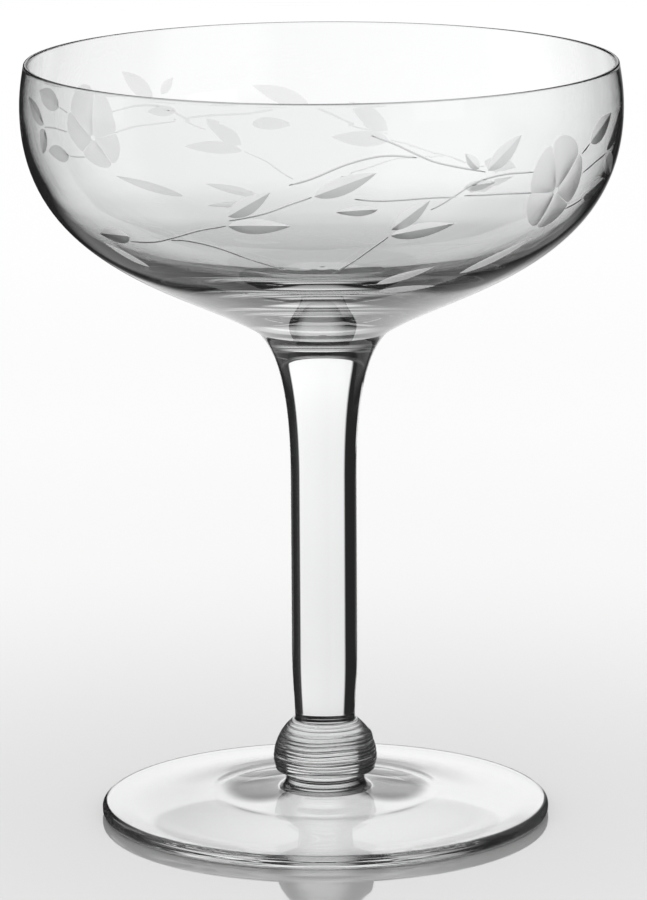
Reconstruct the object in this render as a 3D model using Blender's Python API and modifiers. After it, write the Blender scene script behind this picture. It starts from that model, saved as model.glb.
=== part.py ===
"""Tall-stemmed saucer glass for sherbet, in metres with +Z up.

Four pieces of clear glass are stacked on one axis: a foot, a stem that stands in the foot's socket,
a ringed collar wound round the stem's lower end, and a blown bowl that lies in the stem's cupped top.
The origin is the centre of the foot, on the table.
"""

import math

import bpy
from mathutils import Vector
from mathutils.geometry import interpolate_bezier

# Clearance left at every fused seam
SEAM_GAP = 0.0003

# Foot
FOOT_RADIUS = 0.0367
FOOT_EDGE = 0.0022
EDGE_ROUND = 0.0009
PAD_RADIUS = 0.0185
PAD_HEIGHT = 0.00395
BOSS_WALL = 0.00115
BOSS_HEIGHT = 0.0064
BOSS_FLARE = 0.0021
BOSS_FOOT_HEIGHT = 0.0044
BEARING_WIDTH = 0.0028
HOLLOW_UNDER_PAD = 0.0015
HOLLOW_CENTRE = 0.0025
SOCKET_DEPTH = 0.0012

# Stem
STEM_LENGTH = 0.0737
STEM_RADIUS = 0.0054
NECK_RADIUS = 0.00495
NECK_LENGTH = 0.0120
CUP_RADIUS = 0.0108
CUP_DEPTH = 0.0018
FLARE_LENGTH = 0.0240
FLARE_SLOPE = math.radians(40)
FLARE_LIP_PULL = 0.0042
FLARE_SHANK_PULL = 0.0142

# Collar
COLLAR_RADIUS = 0.0085
COLLAR_DROP = 0.0028
COLLAR_RISE = 0.0064
COLLAR_LIP = 0.0003
COLLAR_EDGE_INSET = 0.0004
COLLAR_EDGE_HEIGHT = 0.0013
RING_COUNT = 5
RING_DEPTH = 0.0002
RING_START = math.radians(8)
RING_END = math.radians(38)

# Bowl
BOWL_RADIUS = 0.0486
BOWL_HEIGHT = 0.0438
RIM_DRAW_IN = 0.0007
RIM_WALL = 0.0007
SHOULDER_DROP = 0.0073
BOWL_WALL = 0.0007
BASE_THICKNESS = 0.0090
SIDE_PULL = 0.0250
BASE_PULL = 0.0147
BASE_SLOPE = math.radians(33)
INNER_SIDE_PULL = 0.0180
INNER_BASE_PULL = 0.0285

# Facets round the axis and points along a curve
BOWL_STEPS = 64
STEM_STEPS = 36
COLLAR_STEPS = 40
FOOT_STEPS = 56
POINTS_PER_RING = 4
DISH_POINTS = 5
MERGE_DISTANCE = 0.00001

GLASS_COLOUR = (0.94, 0.95, 0.95, 1.0)
GLASS_ROUGHNESS = 0.02
GLASS_IOR = 1.52


def curve(start, start_pull, end_pull, end, count):
    """Points of a Bezier curve; each pull is the handle's offset from its own end, as (r, z)."""
    first = Vector(start)
    last = Vector(end)
    points = interpolate_bezier(
        first, first + Vector(start_pull), last + Vector(end_pull), last, count
    )
    return [(point.x, point.y) for point in points]


def arc(centre, radius_r, radius_z, start, end, count):
    """Points of an elliptical arc between two angles, measured from +r towards +z."""
    angles = [start + (end - start) * step / (count - 1) for step in range(count)]
    return [
        (centre[0] + radius_r * math.cos(angle), centre[1] + radius_z * math.sin(angle))
        for angle in angles
    ]


def dish(radius, rim_z, depth):
    """A shallow spherical dish from its lowest point on the axis out to its rim."""
    sphere = (radius * radius + depth * depth) / (2 * depth)
    spread = math.asin(radius / sphere)
    points = []
    for step in range(DISH_POINTS):
        angle = spread * step / (DISH_POINTS - 1)
        points.append((sphere * math.sin(angle), rim_z - depth + sphere * (1 - math.cos(angle))))
    return points


def joined(*runs):
    """Runs of points end to end, without the point that two runs share."""
    points = []
    for run in runs:
        for point in run:
            if not points or math.dist(point, points[-1]) > MERGE_DISTANCE:
                points.append(point)
    return points


def turned(name, profile, steps, is_ring, collection):
    """A piece turned round Z from (r, z) points that run down its outer side."""
    count = len(profile)
    edges = [(index, index + 1) for index in range(count - 1)]
    if is_ring:
        edges.append((count - 1, 0))
    mesh = bpy.data.meshes.new(name)
    mesh.from_pydata([(radius, 0.0, z) for radius, z in profile], edges, [])
    piece = bpy.data.objects.new(name, mesh)
    collection.objects.link(piece)
    screw = piece.modifiers.new("turn", "SCREW")
    screw.axis = "Z"
    screw.angle = math.tau
    screw.screw_offset = 0.0
    screw.steps = steps
    screw.render_steps = steps
    screw.use_merge_vertices = True
    screw.merge_threshold = MERGE_DISTANCE
    screw.use_smooth_shade = True
    return piece


def clear_glass(name):
    """Colourless polished glass, one material for each piece."""
    material = bpy.data.materials.new(name)
    material.use_nodes = True
    shader = material.node_tree.nodes["Principled BSDF"]
    shader.inputs["Base Color"].default_value = GLASS_COLOUR
    shader.inputs["Roughness"].default_value = GLASS_ROUGHNESS
    shader.inputs["Metallic"].default_value = 0.0
    shader.inputs["IOR"].default_value = GLASS_IOR
    shader.inputs["Transmission Weight"].default_value = 1.0
    return material


def boss_radius():
    """Radius of the boss where the collar stands on it."""
    return NECK_RADIUS + SEAM_GAP + BOSS_WALL


def foot_profile():
    """Even disc with a raised pad, a flared boss holding the stem's socket, and a hollow underside."""
    socket = dish(NECK_RADIUS + SEAM_GAP, BOSS_HEIGHT, SOCKET_DEPTH)
    boss_top = (boss_radius(), BOSS_HEIGHT)
    boss_foot = (boss_radius() + BOSS_FLARE, BOSS_FOOT_HEIGHT)
    boss_drop = BOSS_HEIGHT - BOSS_FOOT_HEIGHT
    flare = curve(
        boss_top, (0.0, -0.45 * boss_drop), (-0.4 * BOSS_FLARE, 0.3 * boss_drop), boss_foot, 5
    )
    edge_top = (FOOT_RADIUS - EDGE_ROUND, FOOT_EDGE)
    slope = (edge_top[0] - PAD_RADIUS) / 3
    top = curve(
        (PAD_RADIUS, PAD_HEIGHT), (slope, 0.45 * (FOOT_EDGE - PAD_HEIGHT)), (-slope, 0.0), edge_top, 6
    )
    edge_upper = arc((edge_top[0], FOOT_EDGE - EDGE_ROUND), EDGE_ROUND, EDGE_ROUND, math.pi / 2, 0, 4)
    edge_lower = arc((edge_top[0], EDGE_ROUND), EDGE_ROUND, EDGE_ROUND, 0, -math.pi / 2, 4)
    bearing_edge = (edge_top[0] - BEARING_WIDTH, 0.0)
    hollow_slope = (bearing_edge[0] - PAD_RADIUS) / 3
    under = curve(
        bearing_edge,
        (-hollow_slope, 0.0),
        (hollow_slope, -0.35 * HOLLOW_UNDER_PAD),
        (PAD_RADIUS, HOLLOW_UNDER_PAD),
        5,
    )
    crown = curve(
        (PAD_RADIUS, HOLLOW_UNDER_PAD),
        (-PAD_RADIUS / 3, 0.4 * (HOLLOW_CENTRE - HOLLOW_UNDER_PAD)),
        (PAD_RADIUS / 3, 0.0),
        (0.0, HOLLOW_CENTRE),
        5,
    )
    return joined(socket, flare, top, edge_upper, edge_lower, under, crown)


def stem_profile(end_z):
    """Solid shank with a cupped, flared top, drawn in to a neck above its rounded end."""
    lip_z = end_z + STEM_LENGTH
    cup = dish(CUP_RADIUS, lip_z, CUP_DEPTH)
    flare = curve(
        (CUP_RADIUS, lip_z),
        (-FLARE_LIP_PULL * math.cos(FLARE_SLOPE), -FLARE_LIP_PULL * math.sin(FLARE_SLOPE)),
        (0.0, FLARE_SHANK_PULL),
        (STEM_RADIUS, lip_z - FLARE_LENGTH),
        12,
    )
    neck_z = BOSS_HEIGHT + SEAM_GAP + COLLAR_DROP + COLLAR_RISE
    draw_in = curve(
        (STEM_RADIUS, neck_z + NECK_LENGTH),
        (0.0, -NECK_LENGTH / 2),
        (0.0, NECK_LENGTH / 4),
        (NECK_RADIUS, neck_z),
        7,
    )
    end = reversed(dish(NECK_RADIUS, end_z, SOCKET_DEPTH))
    return joined(cup, flare, draw_in, end)


def collar_profile(base_z):
    """Ball-like ring with tooled grooves, bored for the stem's neck and undercut down to the boss."""
    bore = NECK_RADIUS + SEAM_GAP
    equator_z = base_z + COLLAR_DROP
    crown_angle = math.acos((bore + COLLAR_LIP) / COLLAR_RADIUS)
    crown_height = COLLAR_RISE / math.sin(crown_angle)
    equator = (0.0, equator_z)
    above = arc(equator, COLLAR_RADIUS, crown_height, crown_angle, RING_END, 4)
    grooves = []
    samples = RING_COUNT * POINTS_PER_RING
    for sample in range(samples + 1):
        angle = RING_END + (RING_START - RING_END) * sample / samples
        depth = RING_DEPTH * (1 - math.cos(math.tau * sample / POINTS_PER_RING)) / 2
        radius = COLLAR_RADIUS * math.cos(angle) - depth
        grooves.append((radius, equator_z + crown_height * math.sin(angle)))
    edge = (COLLAR_RADIUS - COLLAR_EDGE_INSET, base_z + COLLAR_EDGE_HEIGHT)
    turn_in = (COLLAR_DROP - COLLAR_EDGE_HEIGHT) / 2
    side = curve((COLLAR_RADIUS, equator_z), (0.0, -turn_in), (0.0, turn_in / 2), edge, 4)
    waist = (boss_radius(), base_z)
    undercut = 0.4 * COLLAR_EDGE_HEIGHT
    under = curve(edge, (-undercut, -undercut), (0.0, undercut), waist, 4)
    return joined(above, grooves, side, under, [(bore, base_z), (bore, equator_z + COLLAR_RISE)])


def bowl_profile(seat_z):
    """Thin blown wall with a rounded rim, thickening to a solid base that lies in the stem's cup."""
    rim_z = seat_z + BOWL_HEIGHT
    shoulder_z = rim_z - SHOULDER_DROP
    rim_radius = BOWL_RADIUS - RIM_DRAW_IN
    inner_base = (0.0, seat_z - CUP_DEPTH + BASE_THICKNESS)
    inner_shoulder = (BOWL_RADIUS - BOWL_WALL, shoulder_z)
    lip_round = RIM_WALL / 2
    inner_rim = (rim_radius - RIM_WALL, rim_z - lip_round)
    outer_rim = (rim_radius, rim_z - lip_round)
    side_rise = SHOULDER_DROP - lip_round
    inside = curve(
        inner_base, (INNER_BASE_PULL, 0.0), (0.0, -INNER_SIDE_PULL), inner_shoulder, 14
    )
    upright = (0.0, 0.4 * side_rise)
    lean = (0.55 * RIM_DRAW_IN, -side_rise / 3)
    inner_lip = curve(inner_shoulder, upright, lean, inner_rim, 4)
    lip = arc((rim_radius - lip_round, rim_z - lip_round), lip_round, lip_round, math.pi, 0.0, 5)
    outer_lip = curve(outer_rim, lean, upright, (BOWL_RADIUS, shoulder_z), 4)
    outside = curve(
        (BOWL_RADIUS, shoulder_z),
        (0.0, -SIDE_PULL),
        (BASE_PULL * math.cos(BASE_SLOPE), BASE_PULL * math.sin(BASE_SLOPE)),
        (CUP_RADIUS, seat_z),
        14,
    )
    underside = reversed(dish(CUP_RADIUS, seat_z, CUP_DEPTH))
    return joined(inside, inner_lip, lip, outer_lip, outside, underside)


def build():
    """Clears the scene, then turns the four pieces from the table upwards."""
    for leftover in list(bpy.data.objects):
        bpy.data.objects.remove(leftover, do_unlink=True)
    glass = bpy.data.collections.new("sherbet_glass")
    bpy.context.scene.collection.children.link(glass)
    seam_z = BOSS_HEIGHT + SEAM_GAP
    bowl_seat_z = seam_z + STEM_LENGTH + SEAM_GAP
    pieces = (
        turned("foot", foot_profile(), FOOT_STEPS, False, glass),
        turned("stem", stem_profile(seam_z), STEM_STEPS, False, glass),
        turned("collar", collar_profile(seam_z), COLLAR_STEPS, True, glass),
        turned("bowl", bowl_profile(bowl_seat_z), BOWL_STEPS, False, glass),
    )
    for piece in pieces:
        piece.data.materials.append(clear_glass(piece.name + "_glass"))


build()
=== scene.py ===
"""Looks of the sherbet glass: smooth blown and drawn glass, tooled rings, and the studio around it.

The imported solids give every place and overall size. Each piece here is turned again as a fine mesh of
nearly the same outline, fused to its neighbours without a visible seam.
"""

import logging
import math
from abc import ABC, abstractmethod
from bisect import bisect_right
from dataclasses import dataclass
from enum import Enum

import bmesh
import bpy
from mathutils import Euler, Matrix, Vector
from mathutils.geometry import delaunay_2d_cdt, interpolate_bezier


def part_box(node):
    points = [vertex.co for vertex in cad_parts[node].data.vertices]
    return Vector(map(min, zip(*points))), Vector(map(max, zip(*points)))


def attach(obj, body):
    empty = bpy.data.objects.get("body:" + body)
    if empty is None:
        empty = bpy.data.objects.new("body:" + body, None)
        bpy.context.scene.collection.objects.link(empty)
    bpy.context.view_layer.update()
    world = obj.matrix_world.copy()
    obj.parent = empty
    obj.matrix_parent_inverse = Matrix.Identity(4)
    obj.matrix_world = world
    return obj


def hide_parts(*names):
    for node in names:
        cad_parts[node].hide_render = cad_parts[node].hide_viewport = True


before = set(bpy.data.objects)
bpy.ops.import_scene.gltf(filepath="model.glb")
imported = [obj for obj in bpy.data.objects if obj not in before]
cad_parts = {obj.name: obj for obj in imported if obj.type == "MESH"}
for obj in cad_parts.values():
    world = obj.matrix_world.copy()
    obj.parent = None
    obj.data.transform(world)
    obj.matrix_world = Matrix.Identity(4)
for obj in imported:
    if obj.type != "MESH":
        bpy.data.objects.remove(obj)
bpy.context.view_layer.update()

Point = tuple[float, float]
Stops = tuple[Point, ...]
Colour = tuple[float, float, float, float]
Groove = list[list[tuple[Vector, float]]]
Pulls = tuple[Point, Point]
Shape = bmesh.types.BMesh
Socket = bpy.types.NodeSocket
Value = Socket | float
Inputs = dict[str | int, object]

LOG = logging.getLogger("sherbet_glass")
BODY = "root"
HALF_SEAM = 0.00015
MERGE_DISTANCE = 0.000002
SAME_SPOT = 1e-8
DOUBLINGS = 3
FLAT_LAYER = "flat"
FLATS_PER_CUT = 10
FULLEST = 0.8
MILLIMETRE = 0.001
BLACK: Colour = (0.0, 0.0, 0.0, 1.0)
WHITE: Colour = (1.0, 1.0, 1.0, 1.0)
PALE_GREY: Colour = (0.97, 0.97, 0.97, 1.0)

# Limits on counted bounces: before the first, before the second, and before the fourth, with which light
# has crossed both surfaces of both of the bowl's walls.
ANY_BOUNCE = 0.5
SECOND_BOUNCE = 1.5
BOTH_WALLS = 3.5


class Face(Enum):
    """Kinds of surface on the glass, each the index of its material."""

    POLISHED = 0
    FUSED = 1
    # Grey cut glass, whose grey is painted shade.
    SHADED_CUT = 2
    PALE = 3
    FROSTED = 4
    FAINT = 5


@dataclass(frozen=True)
class Run:
    """A stretch of outline in (radius, height) points, and the kind of surface it turns into."""

    points: list[Point]
    face: Face = Face.POLISHED


def bezier(start: Point, start_pull: Point, end_pull: Point, end: Point, count: int) -> list[Point]:
    """Points of a Bezier curve.

    Args:
        start: First point, as radius and height.
        start_pull: Offset of the first handle from the first point.
        end_pull: Offset of the last handle from the last point.
        end: Last point.
        count: Number of points, both ends included.

    Returns:
        The points from start to end.
    """
    first, last = Vector(start), Vector(end)
    handles = first + Vector(start_pull), last + Vector(end_pull)
    return [(point.x, point.y) for point in interpolate_bezier(first, *handles, last, count)]


def arc(centre: Point, radii: Point, start: float, end: float, count: int) -> list[Point]:
    """Points of an elliptical arc.

    Args:
        centre: Centre, as radius and height.
        radii: Half widths along the radius and along the height.
        start: First angle, measured from +radius towards +height.
        end: Last angle.
        count: Number of points, both ends included.

    Returns:
        The points from the first angle to the last.
    """
    angles = [start + (end - start) * step / (count - 1) for step in range(count)]
    return [
        (centre[0] + radii[0] * math.cos(angle), centre[1] + radii[1] * math.sin(angle))
        for angle in angles
    ]


def dish(radius: float, rim_z: float, depth: float, count: int) -> list[Point]:
    """Points of a shallow spherical dish.

    Args:
        radius: Radius of the dish's rim.
        rim_z: Height of the rim.
        depth: How far the lowest point lies below the rim.
        count: Number of points, both ends included.

    Returns:
        The points from the axis out to the rim.
    """
    sphere = (radius * radius + depth * depth) / (2 * depth)
    spread = math.asin(radius / sphere)
    angles = [spread * step / (count - 1) for step in range(count)]
    return [
        (sphere * math.sin(angle), rim_z + sphere * (1 - math.cos(angle)) - depth) for angle in angles
    ]


def curve_through(points: list[Vector], spans: int) -> list[Vector]:
    """Points of a smooth curve through given points.

    Args:
        points: The points to pass through.
        spans: Number of steps from each point to the next.

    Returns:
        The curve's points.
    """
    padded = [2 * points[0] - points[1], *points, 2 * points[-1] - points[-2]]
    curve = [points[0]]
    for before, start, end, after in zip(padded, padded[1:], padded[2:], padded[3:]):
        pull, push = (end - before) / 6, (start - after) / 6
        curve += interpolate_bezier(start, start + pull, end + push, end, spans + 1)[1:]
    return curve


def swell(share: float) -> float:
    """Returns how full a leaf or petal is at a share of its length: fullest a little before the middle."""
    return abs(math.sin(math.pi * share**FULLEST))


def turned(runs: list[Run], steps: int) -> Shape:
    """Turns runs of outline round Z.

    Args:
        runs: Stretches of outline that meet end to end.
        steps: Number of facets round the axis.

    Returns:
        The turned shape, its runs not yet joined to each other.
    """
    shape = bmesh.new()
    share = math.tau / 2**DOUBLINGS
    for run in runs:
        known = set(shape.faces)
        verts = [shape.verts.new((radius, 0.0, z)) for radius, z in run.points]
        edges = [shape.edges.new(pair) for pair in zip(verts, verts[1:])]
        bmesh.ops.spin(
            shape, geom=verts + edges, cent=(0, 0, 0), axis=(0, 0, 1), angle=share, steps=steps >> DOUBLINGS
        )
        for face in set(shape.faces) - known:
            face.material_index = run.face.value
    for doubling in range(DOUBLINGS):
        copy = bmesh.ops.duplicate(shape, geom=shape.verts[:] + shape.edges[:] + shape.faces[:])
        turn = Matrix.Rotation(share * 2**doubling, 3, "Z")
        moved = [part for part in copy["geom"] if isinstance(part, bmesh.types.BMVert)]
        bmesh.ops.rotate(shape, verts=moved, cent=(0, 0, 0), matrix=turn)
    return shape


def placed(name: str, shape: Shape) -> bpy.types.Object:
    """Puts a shape into the scene.

    Args:
        name: Name of the object.
        shape: Its shape, which is used up.

    Returns:
        The object, at the origin.
    """
    mesh = bpy.data.meshes.new(name)
    shape.to_mesh(mesh)
    shape.free()
    piece = bpy.data.objects.new(name, mesh)
    bpy.context.scene.collection.objects.link(piece)
    return piece


def finished(name: str, shape: Shape) -> bpy.types.Object:
    """Joins a shape's runs into one closed piece.

    Args:
        name: Name of the piece.
        shape: The turned shape, which is used up; its layer of flats tells cut flats apart.

    Returns:
        The piece, smooth, with a hard edge where two kinds of surface or two cut flats meet.
    """
    bmesh.ops.remove_doubles(shape, verts=shape.verts, dist=MERGE_DISTANCE)
    bmesh.ops.recalc_face_normals(shape, faces=shape.faces)
    layers = shape.faces.layers.int
    flat = layers.get(FLAT_LAYER) or layers.new(FLAT_LAYER)
    for face in shape.faces:
        face.smooth = True
    for edge in shape.edges:
        edge.smooth = len({(face.material_index, face[flat]) for face in edge.link_faces}) == 1
    layers.remove(flat)
    return placed(name, shape)


class Graph:
    """The node tree of a material or world, with short ways to add to it."""

    def __init__(self, owner: bpy.types.Material | bpy.types.World) -> None:
        """Turns on the nodes of a material or world."""
        owner.use_nodes = True
        self.nodes = owner.node_tree.nodes
        self.links = owner.node_tree.links

    def feed(self, node: bpy.types.Node, values: Inputs) -> None:
        """Feeds a node.

        Args:
            node: The node to feed.
            values: Sockets or plain values, by the input's name or number.
        """
        for key, value in values.items():
            if isinstance(value, Socket):
                self.links.new(value, node.inputs[key])
            else:
                node.inputs[key].default_value = value

    def shade(self, values: Inputs) -> None:
        """Feeds the material's own shader."""
        self.feed(self.nodes["Principled BSDF"], values)

    def glow(self, level: Value) -> None:
        """Makes the material give off white light of a level, and nothing else."""
        self.shade({"Base Color": BLACK, "Specular IOR Level": 0.0})
        self.shade({"Emission Color": WHITE, "Emission Strength": level})

    def add(self, kind: str, values: Inputs | None = None) -> bpy.types.Node:
        """Adds a node of the kind that Blender names so, feeds it, and returns it."""
        node = self.nodes.new(kind)
        self.feed(node, values or {})
        return node

    def maths(self, operation: str, *values: Value) -> Socket:
        """Adds a maths node.

        Args:
            operation: Blender's name for the operation.
            values: Sockets or plain numbers to feed it.

        Returns:
            The node's output socket.
        """
        node = self.add("ShaderNodeMath", dict(enumerate(values)))
        node.operation = operation
        return node.outputs["Value"]

    def times(self, first: Value, *others: Value) -> Value:
        """Adds the product of two or more factors, and returns its socket."""
        for other in others:
            first = self.maths("MULTIPLY", first, other)
        return first

    def opposite(self, share: Value) -> Socket:
        """Adds what a share leaves of 1, and returns its socket."""
        return self.maths("SUBTRACT", 1.0, share)

    def mix(self, share: Value, before: Value, after: Value) -> Socket:
        """Adds a value that goes from one to another as a share goes from 0 to 1, and returns its socket."""
        return self.maths("ADD", before, self.times(self.maths("SUBTRACT", after, before), share))

    def fade(self, value: Value, start: float, end: float) -> Socket:
        """Adds a smooth step.

        Args:
            value: The value to test.
            start: Where the step is 0.
            end: Where the step is 1; it may lie below the start.

        Returns:
            The socket that holds the step's value.
        """
        low, high = min(start, end), max(start, end)
        at_low, at_high = (0.0, 1.0) if start < end else (1.0, 0.0)
        node = self.add("ShaderNodeMapRange")
        node.interpolation_type = "SMOOTHSTEP"
        self.feed(
            node, {"Value": value, "From Min": low, "From Max": high, "To Min": at_low, "To Max": at_high}
        )
        return node.outputs["Result"]

    def window(self, value: Value, low: float, high: float, soft: float) -> Value:
        """Adds nodes that are 1 between two limits and fade to 0 outside them.

        Args:
            value: The value to test.
            low: Lower limit.
            high: Upper limit.
            soft: Half width of the fade.

        Returns:
            The socket that holds the window's value.
        """
        rising = self.fade(value, low - soft, low + soft)
        return self.times(rising, self.fade(value, high + soft, high - soft))

    def levels(self, value: Value, stops: Stops) -> Value:
        """Adds a grey level that changes smoothly from stop to stop.

        Args:
            value: The place along the stops.
            stops: Pairs of place and level, in rising order of place.

        Returns:
            The socket that holds the level.
        """
        level: Value = stops[0][1]
        for (start, before), (end, after) in zip(stops, stops[1:]):
            rise = self.times(self.fade(value, start, end), after - before)
            level = self.maths("ADD", rise, level)
        return level

    def place(self, kind: str = "Object") -> Socket:
        """Adds the coordinates of the spot that is shaded, and returns their socket."""
        return self.add("ShaderNodeTexCoord").outputs[kind]

    def axes(self, kind: str = "Object") -> tuple[Socket, ...]:
        """Adds the coordinates of the spot that is shaded, and returns X, Y and Z on their own."""
        return tuple(self.add("ShaderNodeSeparateXYZ", {"Vector": self.place(kind)}).outputs)

    def light_path(self) -> bpy.types.NodeOutputs:
        """Adds what is known of the way the light came, and returns its sockets."""
        return self.add("ShaderNodeLightPath").outputs


@dataclass(frozen=True)
class ClearGlass:
    """Colourless fire-polished glass with the faint unevenness of hand work."""

    name: str
    colour: Colour = (0.985, 0.99, 0.99, 1.0)
    ior: float = 1.52
    roughness: float = 0.0
    waves: tuple[float, float, float] = (70.0, 70.0, 110.0)
    wave_height: float = 0.000006
    detail: float = 1.0

    def material(self) -> bpy.types.Material:
        """Returns a node material whose normal is bent by the waves that the surface was left with."""
        material = bpy.data.materials.new(self.name)
        graph = Graph(material)
        graph.shade({"Base Color": self.colour, "IOR": self.ior, "Roughness": self.roughness})
        spot = graph.add("ShaderNodeMapping", {"Vector": graph.place(), "Scale": self.waves}).outputs[0]
        noise = graph.add("ShaderNodeTexNoise", {"Vector": spot, "Scale": 1.0, "Detail": self.detail})
        bump = graph.add("ShaderNodeBump", {"Height": noise.outputs["Fac"], "Distance": self.wave_height})
        graph.shade({"Transmission Weight": 1.0, "Normal": bump.outputs["Normal"]})
        return material


@dataclass(frozen=True)
class CutGlass:
    """Glass that a wheel has ground: fine-grained and left unpolished, its default grey colour painted
    shade.
    """

    name: str
    # This default grey is painted shade, not a colour of the glass.
    colour: Colour = (0.76, 0.77, 0.77, 1.0)
    clearness: float = 1.0
    ior: float = 1.52
    grain: float = 2500.0
    roughness: Point = (0.26, 0.40)

    def material(self) -> bpy.types.Material:
        """Returns a node material whose roughness follows the grain that the wheel left."""
        material = bpy.data.materials.new(self.name)
        graph = Graph(material)
        graph.shade({"Base Color": self.colour, "IOR": self.ior, "Transmission Weight": self.clearness})
        noise = graph.add("ShaderNodeTexNoise", {"Vector": graph.place(), "Scale": self.grain})
        low, high = self.roughness
        spread = graph.add(
            "ShaderNodeMapRange", {"Value": noise.outputs["Fac"], "To Min": low, "To Max": high}
        )
        graph.shade({"Roughness": spread.outputs["Result"]})
        return material


@dataclass(frozen=True)
class FusedSeam:
    """Glass run into glass: nothing shows where two hot pieces became one."""

    name: str

    def material(self) -> bpy.types.Material:
        """Returns a node material that light crosses unbent."""
        material = bpy.data.materials.new(self.name)
        graph = Graph(material)
        graph.nodes.remove(graph.nodes["Principled BSDF"])
        seam = graph.add("ShaderNodeBsdfTransparent")
        graph.feed(graph.nodes["Material Output"], {"Surface": seam.outputs["BSDF"]})
        return material


class Wall:
    """A bowl's outer wall rolled out flat: x runs round the bowl, y runs down its outline."""

    def __init__(self, outline: list[Point], girth: float, turn: float, shift: float) -> None:
        """Measures the outline.

        Args:
            outline: Points of radius and height, from the top down.
            girth: Radius that the rolled-out wall's x is measured at.
            turn: Angle from the front to the half of the wall that is rolled out, in degrees.
            shift: Angle that what is cut in this half is moved by, in degrees.
        """
        self.outline = outline
        self.girth = girth
        self.turn = turn
        self.shift = shift
        self.lengths = [0.0]
        for before, after in zip(outline, outline[1:]):
            self.lengths.append(self.lengths[-1] + math.dist(before, after))

    def spot(self, place: Point) -> Vector:
        """Finds a place on the rolled-out wall.

        Args:
            place: Angle from the front, in degrees, and height, in millimetres.

        Returns:
            The flat point.
        """
        height = place[1] * MILLIMETRE
        below = next(i for i, point in enumerate(self.outline) if point[1] <= height)
        top, foot = self.outline[below - 1], self.outline[below]
        share = (top[1] - height) / (top[1] - foot[1])
        run = self.lengths[below - 1] + share * (self.lengths[below] - self.lengths[below - 1])
        return Vector((math.radians(place[0] + self.shift) * self.girth, run))

    def outline_at(self, run: float) -> tuple[Vector, Vector]:
        """Follows the outline.

        Args:
            run: Length down the outline.

        Returns:
            The outline's point there and the way it faces, both as radius and height.
        """
        below = min(max(bisect_right(self.lengths, run), 1), len(self.outline) - 1)
        top, foot = Vector(self.outline[below - 1]), Vector(self.outline[below])
        share = (run - self.lengths[below - 1]) / (self.lengths[below] - self.lengths[below - 1])
        ahead = (foot - top).normalized()
        return top.lerp(foot, share), Vector((-ahead.y, ahead.x))

    def solid(self, flat: Vector, depth: float) -> Vector:
        """Rolls a flat point up again.

        Args:
            flat: The flat point.
            depth: How far it is sunk into the wall.

        Returns:
            The point of space.
        """
        point, facing = self.outline_at(flat.y)
        radius, height = point - facing * depth
        turn = flat.x / self.girth + math.radians(self.turn)
        return Vector((radius * math.sin(turn), -radius * math.cos(turn), height))

    def beside(self, line: list[Vector], index: int, distance: float) -> Vector:
        """Steps aside from a line.

        Args:
            line: Flat points of the line.
            index: Which of them to step from.
            distance: How far to step, measured on the glass.

        Returns:
            The flat point beside the line.
        """
        before = line[max(index - 1, 0)]
        after = line[min(index + 1, len(line) - 1)]
        stretch = self.outline_at(line[index].y)[0].x / self.girth
        ahead = Vector(((after.x - before.x) * stretch, after.y - before.y)).normalized()
        return line[index] + Vector((-ahead.y / stretch, ahead.x)) * distance

    def groove(self, line: list[Vector], halves: list[float], depths: list[float]) -> Groove:
        """Lays out a groove along a line.

        Args:
            line: Flat points of the groove's lowest line.
            halves: Half the groove's width at each point.
            depths: Depth at each point.

        Returns:
            Three lines of flat points and depths: one edge, the lowest line and the other edge.
        """
        left = [(self.beside(line, i, half), 0.0) for i, half in enumerate(halves)]
        right = [(self.beside(line, i, -half), 0.0) for i, half in enumerate(halves)]
        return [left, list(zip(line, depths)), right]


@dataclass(frozen=True)
class Stroke:
    """One cut of the wheel: lines of (flat point, depth) side by side, from one edge to the other."""

    lines: Groove
    # By default both flats take the grey cut glass, whose grey is painted shade; the stalks keep this
    # default.
    faces: tuple[Face, ...] = (Face.SHADED_CUT, Face.SHADED_CUT)
    ridged: bool = True

    def outline(self) -> list[Vector]:
        """Returns the flat points round the cut."""
        return [point for point, _ in self.lines[0] + self.lines[-1][::-1]]


@dataclass(frozen=True)
class Stalk:
    """A hair-thin groove through places given in degrees from the front and millimetres of height."""

    places: tuple[Point, ...]
    width: float = 0.00034
    depth: float = 0.00006
    end_share: float = 0.35
    widening: float = 0.4
    spans: int = 5

    def strokes(self, wall: Wall) -> list[Stroke]:
        """Returns the stalk's one cut in a wall, narrower at both ends."""
        line = curve_through([wall.spot(place) for place in self.places], self.spans)
        last = len(line) - 1
        shares = [min(1.0, self.end_share + self.widening * min(i, last - i)) for i in range(last + 1)]
        halves = [self.width / 2 * share for share in shares]
        return [Stroke(wall.groove(line, halves, [self.depth] * len(line)))]


@dataclass(frozen=True)
class Leaf:
    """A pointed leaf cut as two flats that meet in a midrib, from its base to its tip."""

    base: Point
    tip: Point
    width: float = 0.0029
    depth: float = 0.00022
    frosted: bool = False
    fullness: float = 0.9
    spans: int = 6

    def strokes(self, wall: Wall) -> list[Stroke]:
        """Returns the leaf's one cut in a wall: the lower flat grey as painted shade, the upper pale, unless
        both are frosted.
        """
        start, end = wall.spot(self.base), wall.spot(self.tip)
        line = curve_through([start, start.lerp(end, 0.5), end], self.spans)
        fullness = [swell(index / (len(line) - 1)) ** self.fullness for index in range(len(line))]
        halves = [self.width / 2 * part for part in fullness]
        depths = [self.depth * math.sqrt(part) for part in fullness]
        # The lower flat always takes the grey cut glass as painted shade, and the upper flat the pale one.
        faces = (Face.SHADED_CUT, Face.PALE) if end.x > start.x else (Face.PALE, Face.SHADED_CUT)
        if self.frosted:
            faces = (Face.FROSTED, Face.FROSTED)
        return [Stroke(wall.groove(line, halves, depths), faces)]


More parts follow.
